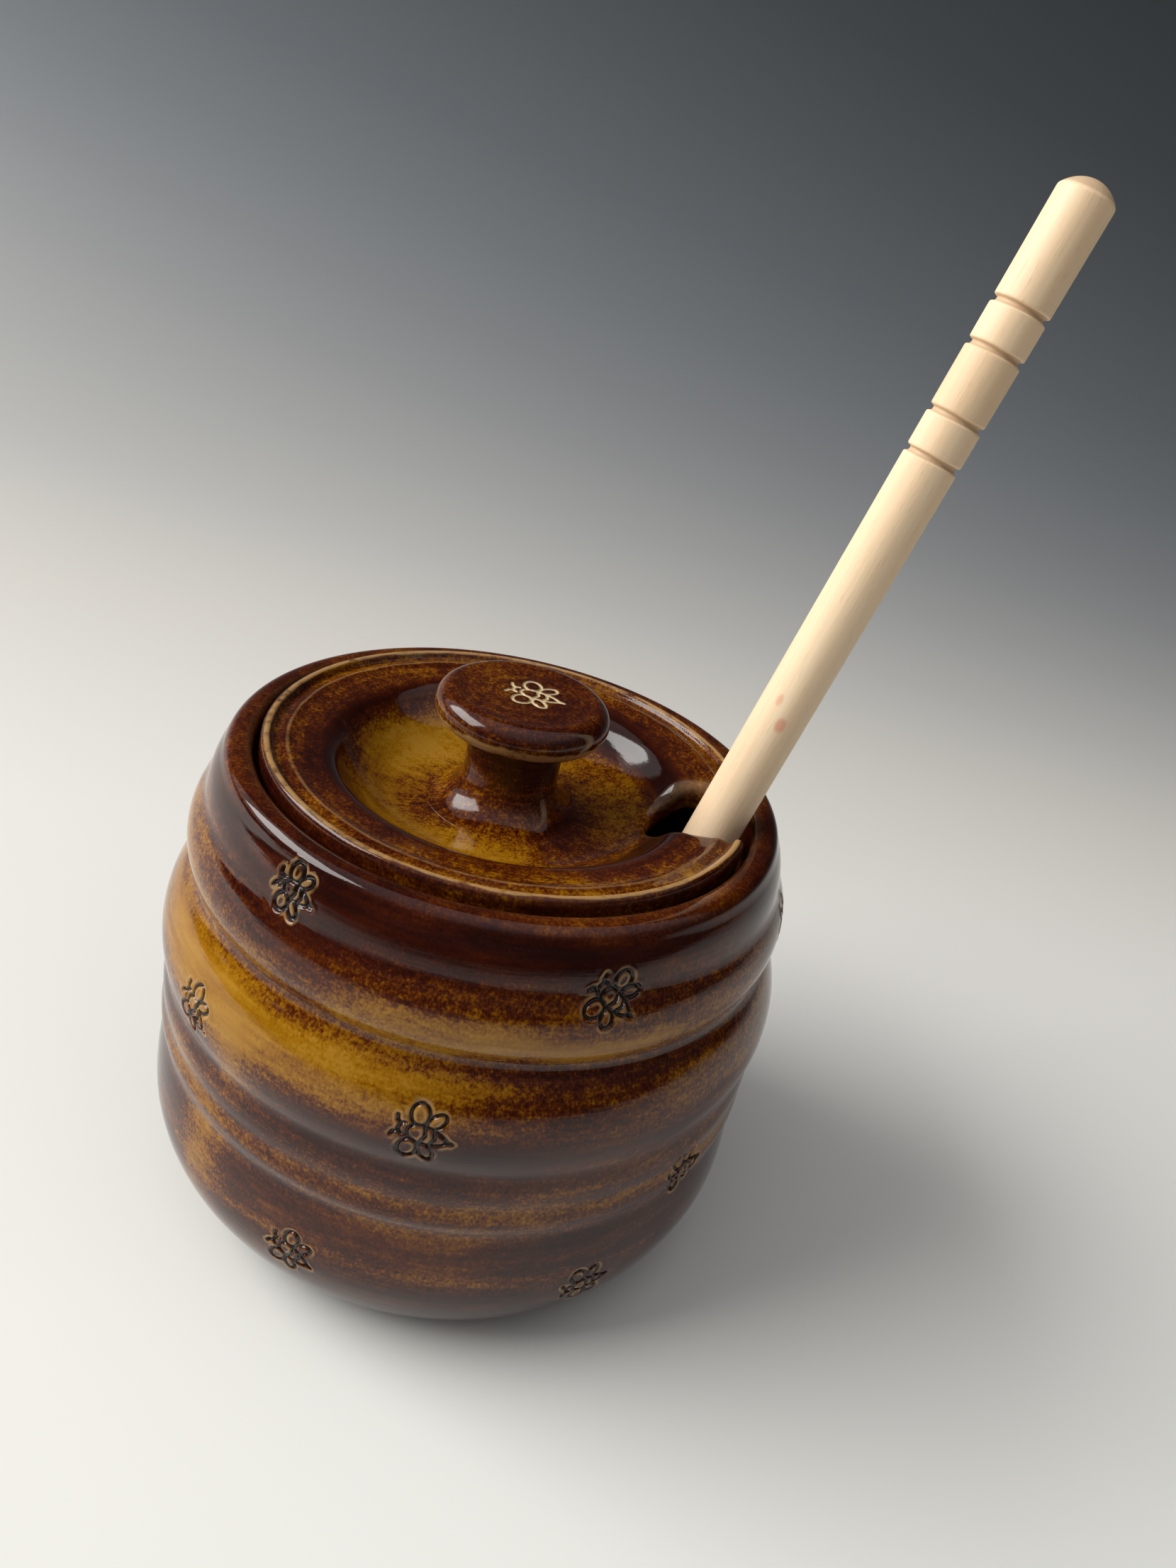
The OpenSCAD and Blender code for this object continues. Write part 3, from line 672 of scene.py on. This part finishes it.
def lid_level(g):
    """How golden the lid is at a place, darker in front of the stem, and darker right of the stem, as the
    photo has it, where the knob's shadow is painted into the glaze along with darker glaze there.
    """
    waver = g.math("MULTIPLY_ADD", g.noise((60, 60, 60), 2.0, 0.5, 17.0), 0.006, -0.003)
    r = radial(g)
    share = g.math("DIVIDE", g.math("ADD", r, waver), LID_REACH / 1000)
    level = g.ramp(share, [(at / LID_REACH, v) for at, v in LID_LEVELS])
    # Streaks that ran outwards from the stem
    x, y, _height = g.parts()
    x, y = g.math("DIVIDE", x, r), g.math("DIVIDE", y, r)
    around = g.joined(g.math("MULTIPLY", x, 13.0), g.math("MULTIPLY", y, 13.0), g.math("MULTIPLY", r, 170.0))
    streaks = g.noise((1, 1, 1), 3.0, 0.6, 19.0, 0.2, around)
    near_stem = g.span(r, 0.023, 0.012)
    more = g.math("SUBTRACT", streaks, 0.53)
    more = g.math("MULTIPLY", more, g.math("MULTIPLY_ADD", near_stem, 0.45, 0.25))
    front = g.span(g.parts()[1], 0.002, -0.016)
    more = g.math("MULTIPLY_ADD", g.math("MULTIPLY", front, near_stem), -0.10, more)
    # Painted shadow of the knob on the dish right of the stem, together with darker, more speckled glaze
    # there
    knob_shadow_and_dark_glaze = g.math("MULTIPLY", g.span(g.parts()[0], 0.002, 0.014), g.span(r, 0.029, 0.025))
    more = g.math("MULTIPLY_ADD", knob_shadow_and_dark_glaze, -0.36, more)
    # Brushed circles on the ring
    circles = g.noise((1, 1, 1), 3.0, 0.6, 31.0, 0.0, g.joined(g.math("MULTIPLY", r, 850.0), x, y))
    on_ring = g.span(r, 0.0265, 0.0290, 0.0, 0.5)
    more = g.math("MULTIPLY_ADD", g.math("SUBTRACT", circles, 0.5), on_ring, more)
    return g.math("ADD", level, more)


def lid_thin(g):
    """Where the glaze drained: on the bead, the second ridge, and the rounded edge of the notch."""
    r = radial(g)
    sway = g.math("MULTIPLY_ADD", g.noise((150, 150, 150), 2.0, 0.6, 29.0), 0.0008, -0.0004)
    r = g.math("ADD", r, sway)
    rim = g.band(r, 0.0366, 0.0371, 0.0003)
    rim = g.math("MULTIPLY", rim, g.span(g.parts()[2], 0.0784, 0.0790), clamp=True)
    ridge = g.band(r, 0.0338, 0.0340, 0.00025)
    lines = g.math("MAXIMUM", g.math("MULTIPLY", rim, 0.75), g.math("MULTIPLY", ridge, 0.25))
    return g.math("MAXIMUM", lines, g.math("MULTIPLY", g.attribute("edge"), 0.28))


lid_glaze = glaze("Lid glaze", lid_level, lid_thin, 23.0)
lid.data.materials.append(lid_glaze)
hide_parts("lid")
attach(lid, "lid")

# The knob
# Thrown as a small mushroom and stuck to the floor of the dish with slip, so its stem sweeps out onto it. One
# bee is stamped on its slightly hollow top, and the glaze is thin and tan round its edge.
STEM_RADIUS, STEM_SWEEP, UNDERCUT_Z, UNDERCUT_ROUND = 7.5, 5.5, 81.9, 2.4
KNOB_TOP, KNOB_EDGE, KNOB_EDGE_Z, KNOB_EDGE_ROUND, HOLLOW = 90.1, 10.6, 87.2, 2.9, 0.4
SUNK_IN = DISH_FLOOR - 0.1
knob_profile = [(0, SUNK_IN), (STEM_RADIUS + STEM_SWEEP + 0.2, SUNK_IN)]
knob_profile += arc((STEM_RADIUS + STEM_SWEEP, DISH_FLOOR + STEM_SWEEP), STEM_SWEEP, -90, -180)
knob_profile += [(STEM_RADIUS, UNDERCUT_Z)]
knob_profile += arc((STEM_RADIUS + UNDERCUT_ROUND, UNDERCUT_Z), UNDERCUT_ROUND, 180, 90)
knob_profile += [(KNOB_EDGE, KNOB_EDGE_Z - KNOB_EDGE_ROUND)]
knob_profile += arc((KNOB_EDGE, KNOB_EDGE_Z), KNOB_EDGE_ROUND, -90, 90)
for t in np.linspace(0.1, math.pi / 2, 30):
    knob_profile.append((KNOB_EDGE * math.cos(t), KNOB_TOP - HOLLOW * math.sin(t)))
knob_profile = spaced(softened(knob_profile, 0.3), lambda r, z: 0.15 if z > 89.3 and r < 6.5 else 0.3)
knob = turned("knob_thrown", knob_profile, 240)


def on_knob(x, y):
    """The place on the knob's top of a point of the bee, which is stretched and a little off the middle."""
    tail, longer, middle_x, middle_y, height = math.radians(-8), 1.2, 0.9, 1.2, 0.0897
    c, s = math.cos(tail), math.sin(tail)
    x *= longer
    return ((middle_x + x * c - y * s) / 1000, (middle_y + x * s + y * c) / 1000, height)


knob_bee = lines_object("knob_stamp_lines", [pressed(BEE, on_knob)])

# How golden the knob's glaze is, from the floor of the dish up to its top, as shares of that height
KNOB_LEVELS = [
    (0, 0.46), (0.14, 0.42), (0.3, 0.34), (0.6, 0.28), (0.70, 0.42), (0.84, 0.46), (0.93, 0.32), (1, 0.32),
]


def knob_level(g):
    """How golden the knob is at a place. Where its stem runs out, it takes the lid's own glaze, with its
    painted shadow of the knob right of the stem.
    """
    z, r = g.parts()[2], radial(g)
    above = g.math("SUBTRACT", z, DISH_FLOOR / 1000)
    stem = g.ramp(g.math("DIVIDE", above, (KNOB_TOP - DISH_FLOOR) / 1000), KNOB_LEVELS)
    # Brushed circles on the top
    circles = g.noise((1, 1, 1), 2.0, 0.6, 37.0, 0.0, g.joined(g.math("MULTIPLY", r, 900.0), 0.0, 0.0))
    top = g.math("MULTIPLY", g.math("SUBTRACT", circles, 0.5), g.span(z, 0.0885, 0.0893, 0.0, 0.55))
    on_dish = g.span(z, 0.0745, 0.0717)
    level = g.math("ADD", stem, top)
    lower = g.math("MULTIPLY", lid_level(g), on_dish)
    upper = g.math("MULTIPLY", level, g.math("SUBTRACT", 1.0, on_dish))
    return g.math("ADD", lower, upper)


def knob_thin(g):
    """The tan line round the knob's edge."""
    z, r = g.parts()[2], radial(g)
    sway = g.math("MULTIPLY_ADD", g.noise((180, 180, 60), 2.0, 0.6, 43.0), 0.003, -0.0015)
    broken = g.math("MULTIPLY", g.band(g.math("ADD", z, sway), 0.0854, 0.0864, 0.0006), 0.75)
    return g.math("MULTIPLY", broken, g.span(r, 0.0105, 0.0120))


knob_glaze = glaze(
    "Knob glaze", knob_level, knob_thin, 23.0,
    line_colour=(0.62, 0.48, 0.27), halo_colour=(0.020, 0.008, 0.004),
)
knob = shaped(
    knob, clay_tree, "knob_thrown", stamp_lines=knob_bee, glaze=knob_glaze, ring_depth=0.00008,
    waver_depth=0.0002, stamp_width=0.00034, stamp_depth=0.00025, seed=8.0,
)
bpy.data.objects.remove(knob_bee)
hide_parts("lid_knob")
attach(knob, "lid")

# The dipper
# A turned stick of pale close-grained wood: an 8 mm dowel with a rounded end and four narrow grooves, and a
# ridged head drilled and glued on its foot. It stands in the pot, leans on the shelf's inner edge, and comes
# out through the lid's notch.
LEAN, TURN, BESIDE, CLEAR = math.radians(15), math.radians(28), -1.9, 0.3
DIPPER_LENGTH, STICK_RADIUS, DOME_HEIGHT, PEG_RADIUS, PEG_LENGTH = 170.0, 4, 2.1, 3, 14
HEAD_LENGTH, CORE_RADIUS, RIDGES, RIDGE_STEP, HEAD_ROUND, HOLE_PLAY = 36.4, 4.8, 6, 6.0, 1.7, 0.05


def ridge_radius(number):
    """The head is fullest in its middle."""
    return 7 + 3 * math.sin(math.pi * (number + 0.5) / RIDGES)


# It leans on the shelf's inner edge at this place, and its lowest ridge stands on the pot's floor
rest_radius = NECK_RADIUS - STICK_RADIUS / math.cos(LEAN) - CLEAR
rest = np.array([math.sqrt(rest_radius**2 - BESIDE**2), BESIDE, SHELF_Z])
tip_dip = (ridge_radius(0) - HEAD_ROUND) * math.sin(LEAN) + HEAD_ROUND * (1 - math.cos(LEAN))
drop = (SHELF_Z - FLOOR_Z - CLEAR - tip_dip) / math.cos(LEAN)
dipper_place = (
    Matrix.Translation(rest / 1000)
    @ Matrix.Rotation(TURN, 4, "Z")
    @ Matrix.Rotation(LEAN, 4, "Y")
    @ Matrix.Translation((0, 0, -drop / 1000))
)

stick = [(0, HEAD_LENGTH - PEG_LENGTH), (PEG_RADIUS, HEAD_LENGTH - PEG_LENGTH)]
stick += [(PEG_RADIUS, HEAD_LENGTH), (STICK_RADIUS, HEAD_LENGTH)]
TOP_GROOVE = DIPPER_LENGTH - 16.2
GROOVE_TOPS = [TOP_GROOVE, TOP_GROOVE - 5.8, TOP_GROOVE - 15.1, TOP_GROOVE - 20.9]
for top in reversed(GROOVE_TOPS):
    stick += [(STICK_RADIUS, top - 1.05), (3.45, top - 0.8), (3.35, top - 0.25), (STICK_RADIUS, top)]
stick += [(STICK_RADIUS, DIPPER_LENGTH - DOME_HEIGHT)]
dome = (STICK_RADIUS**2 + DOME_HEIGHT**2) / (2 * DOME_HEIGHT)
dome_edge = math.degrees(math.asin((dome - DOME_HEIGHT) / dome))
stick += arc((0, DIPPER_LENGTH - dome), dome, dome_edge, 90)
stick = spaced(softened(stick, 0.11, 0.05), lambda r, z: 0.12 if z > 128 else 1.2)
handle = turned("handle_stick", stick, 72)

ridged = [(0, 0)]
for i in range(RIDGES):
    z = i * RIDGE_STEP
    ridged += [(CORE_RADIUS, z)] if i else []
    ridged += arc((ridge_radius(i) - HEAD_ROUND, z + HEAD_ROUND), HEAD_ROUND, -90, 90)
    ridged += [(CORE_RADIUS, z + 2 * HEAD_ROUND)]
hole_radius, hole_floor = PEG_RADIUS + HOLE_PLAY, HEAD_LENGTH - (PEG_LENGTH + HOLE_PLAY)
ridged += [(CORE_RADIUS, HEAD_LENGTH), (hole_radius, HEAD_LENGTH), (hole_radius, hole_floor), (0, hole_floor)]
head = turned("honey_head", spaced(softened(ridged, 0.15, 0.05), lambda r, z: 0.3), 96)


def wood(name, base, dark, seed, spots=()):
    """Pale sanded wood: long fine grain along the dowel, faint pores, pink spots, and burnished grooves."""
    g = Nodes(name)
    mapping = g.add("ShaderNodeMapping", vector_type="TEXTURE")
    g.put(g.where, mapping.inputs["Vector"])
    mapping.inputs["Location"].default_value = rest / 1000
    mapping.inputs["Rotation"].default_value = (0, LEAN, TURN)
    g.where = mapping.outputs[0]
    grain = g.noise((900, 900, 26), 3.0, 0.55, seed, 0.3)
    broad = g.noise((170, 170, 9), 2.0, 0.5, seed + 1, 0.5)
    pores = g.noise((4200, 4200, 420), 1.0, 0.5, seed + 2)
    share = g.math("MULTIPLY_ADD", g.math("SUBTRACT", grain, 0.5), 0.8, broad)
    colour = g.mix(g.span(share, 0.25, 0.75), base, dark)
    colour = g.mix(g.math("MULTIPLY", g.span(pores, 0.62, 0.75), 0.18), colour, (0.42, 0.24, 0.11))
    along = g.parts()[2]
    for at_x, at_y, at_z, wide, tall, much in spots:
        spot = g.vector("DIVIDE", g.vector("SUBTRACT", g.where, (at_x, at_y, at_z)), (wide, wide, tall))
        near = g.math("MULTIPLY", g.span(g.vector("LENGTH", spot), 1.0, 0.4), much)
        colour = g.mix(near, colour, (0.80, 0.36, 0.22))
    sunk = g.math("MULTIPLY", g.span(radial(g), 0.0039, 0.0035), g.span(along, 0.060, 0.062), clamp=True)
    colour = g.mix(g.math("MULTIPLY", sunk, 0.55), colour, (0.42, 0.26, 0.14))
    # The long bead between the second and the third groove is tanned
    tan = g.band(along, (GROOVE_TOPS[2] - drop) / 1000, (GROOVE_TOPS[1] - 1.0 - drop) / 1000, 0.0001)
    colour = g.mix(g.math("MULTIPLY", tan, 0.35), colour, (0.76, 0.52, 0.30))
    g.put(colour, g.shader.inputs["Base Color"])
    g.shader.inputs["Roughness"].default_value = 0.5
    g.shader.inputs["IOR"].default_value = 1.42
    g.bump(g.math("ADD", grain, g.math("MULTIPLY", pores, 0.5)), 0.00006, 0.7)
    return g.material


# Two pink spots above the notch: place and half sizes in metres from the rest on the shelf, and strength
SPOTS = [(-0.0020, -0.0034, 0.0240, 0.0011, 0.0016, 0.75), (-0.0034, -0.0021, 0.0272, 0.0007, 0.0013, 0.55)]
handle.data.materials.append(wood("Handle wood", (0.97, 0.76, 0.51), (0.90, 0.65, 0.41), 41.0, SPOTS))
head.data.materials.append(wood("Head wood", (0.80, 0.60, 0.38), (0.68, 0.46, 0.26), 53.0))
for piece, node, finish in ((handle, "dipper_handle", "wood_handle"), (head, "dipper_head", "wood_head")):
    piece.data.transform(dipper_place)
    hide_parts(node)
    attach(piece, "dipper")

# The floor, the backdrop and the light
# A pale paper sheet that sweeps up behind the pot, greyed away to the back right in painted shade of the
# light that fades away from the softbox, and greying towards the front, a softbox high on the left, a large
# pale wall further back, and a dim room that is brightest overhead. Sizes are in metres.
FLAT_END, SWEEP, SHEET_TOP, SHEET_HALF = 0.35, 0.9, 2.6, 5.0
sheet = bpy.data.meshes.new("backdrop_sheet")
rows = [(-1.2, 0.0), (-0.3, 0.0), (FLAT_END, 0.0)]
for t in np.radians(range(3, 91, 3)):
    rows.append((FLAT_END + SWEEP * math.sin(t), SWEEP - SWEEP * math.cos(t)))
rows.append((FLAT_END + SWEEP, SHEET_TOP))
points = [(x, y, z) for y, z in rows for x in (-SHEET_HALF, SHEET_HALF)]
sheet.from_pydata(points, [], [(2 * i, 2 * i + 1, 2 * i + 3, 2 * i + 2) for i in range(len(rows) - 1)])
sheet.shade_smooth()
backdrop = bpy.data.objects.new("backdrop_sheet", sheet)
bpy.context.scene.collection.objects.link(backdrop)
paper = Nodes("Backdrop paper with painted shade")
across, back, up = paper.parts()
depth = paper.math("ADD", back, up)
# Painted shade: the distance back leans so that the sheet darkens towards the right, away from the softbox
tilt = paper.span(depth, 0.0, 0.8, -0.1, 0.4)
fade = paper.math("MULTIPLY_ADD", across, tilt, depth)
# Painted shade: its colour by this distance back, in metres, darkening as the light fades away from the
# softbox
PAPER_PAINTED_SHADE = [
    (-0.3, (0.82, 0.82, 0.78)), (-0.05, (0.84, 0.84, 0.80)), (0.08, (0.78, 0.765, 0.73)),
    (0.2, (0.62, 0.60, 0.56)), (0.3, (0.457, 0.452, 0.438)), (0.4, (0.352, 0.355, 0.350)),
    (0.5, (0.270, 0.274, 0.280)), (0.6, (0.210, 0.220, 0.230)), (0.75, (0.155, 0.168, 0.180)),
    (0.9, (0.116, 0.127, 0.139)), (1.1, (0.083, 0.093, 0.102)), (1.3, (0.057, 0.066, 0.072)),
    (1.7, (0.032, 0.038, 0.040)),
]
nearest, farthest = PAPER_PAINTED_SHADE[0][0], PAPER_PAINTED_SHADE[-1][0]
stops = [((at - nearest) / (farthest - nearest), colour) for at, colour in PAPER_PAINTED_SHADE]
shade = paper.ramp(paper.span(fade, nearest, farthest, smooth=False), stops)
# It greys away towards the front edge as well
shade = paper.mix(paper.span(back, -0.12, -0.60), shade, (0.10, 0.10, 0.10))
paper.put(shade, paper.shader.inputs["Base Color"])
paper.shader.inputs["Roughness"].default_value = 0.8
paper.shader.inputs["Specular IOR Level"].default_value = 0.1
backdrop.data.materials.append(paper.material)


def softbox(name, place, target, width, height, power, colour):
    """A rectangular lamp that faces the target, in metres and watts."""
    lamp = bpy.data.lights.new(name, "AREA")
    lamp.shape, lamp.size, lamp.size_y, lamp.energy, lamp.color = "RECTANGLE", width, height, power, colour
    made = bpy.data.objects.new(name, lamp)
    bpy.context.scene.collection.objects.link(made)
    look = Vector(target) - Vector(place)
    made.matrix_world = Matrix.Translation(place) @ look.to_track_quat("-Z", "Y").to_matrix().to_4x4()


softbox("Softbox", (-1.41, -0.25, 1.12), (0, 0, 0.05), 1.50, 0.95, 39.0, (1.0, 0.985, 0.96))
softbox("Pale wall", (-2.20, 0.75, 1.45), (0, 0, 0.05), 3.0, 2.0, 14.0, (1.0, 0.99, 0.97))
world = bpy.data.worlds.new("World")
bpy.context.scene.world = world
world.use_nodes = True
nodes, links = world.node_tree.nodes, world.node_tree.links
direction = nodes.new("ShaderNodeTexCoord")
split = nodes.new("ShaderNodeSeparateXYZ")
sky = nodes.new("ShaderNodeValToRGB")
# How bright the room is, from level up to straight overhead
ROOM = ((0.0, 0.03), (0.40, 0.10), (0.70, 0.42), (1.0, 0.70))
for i, (at, value) in enumerate(ROOM):
    stop = sky.color_ramp.elements[i] if i < 2 else sky.color_ramp.elements.new(at)
    stop.position, stop.color = at, (value, value, value * 1.02, 1)
links.new(direction.outputs["Generated"], split.inputs[0])
links.new(split.outputs["Z"], sky.inputs[0])
links.new(sky.outputs[0], nodes["Background"].inputs["Color"])
nodes["Background"].inputs["Strength"].default_value = 1.0
bpy.context.scene.view_settings.view_transform = "Standard"
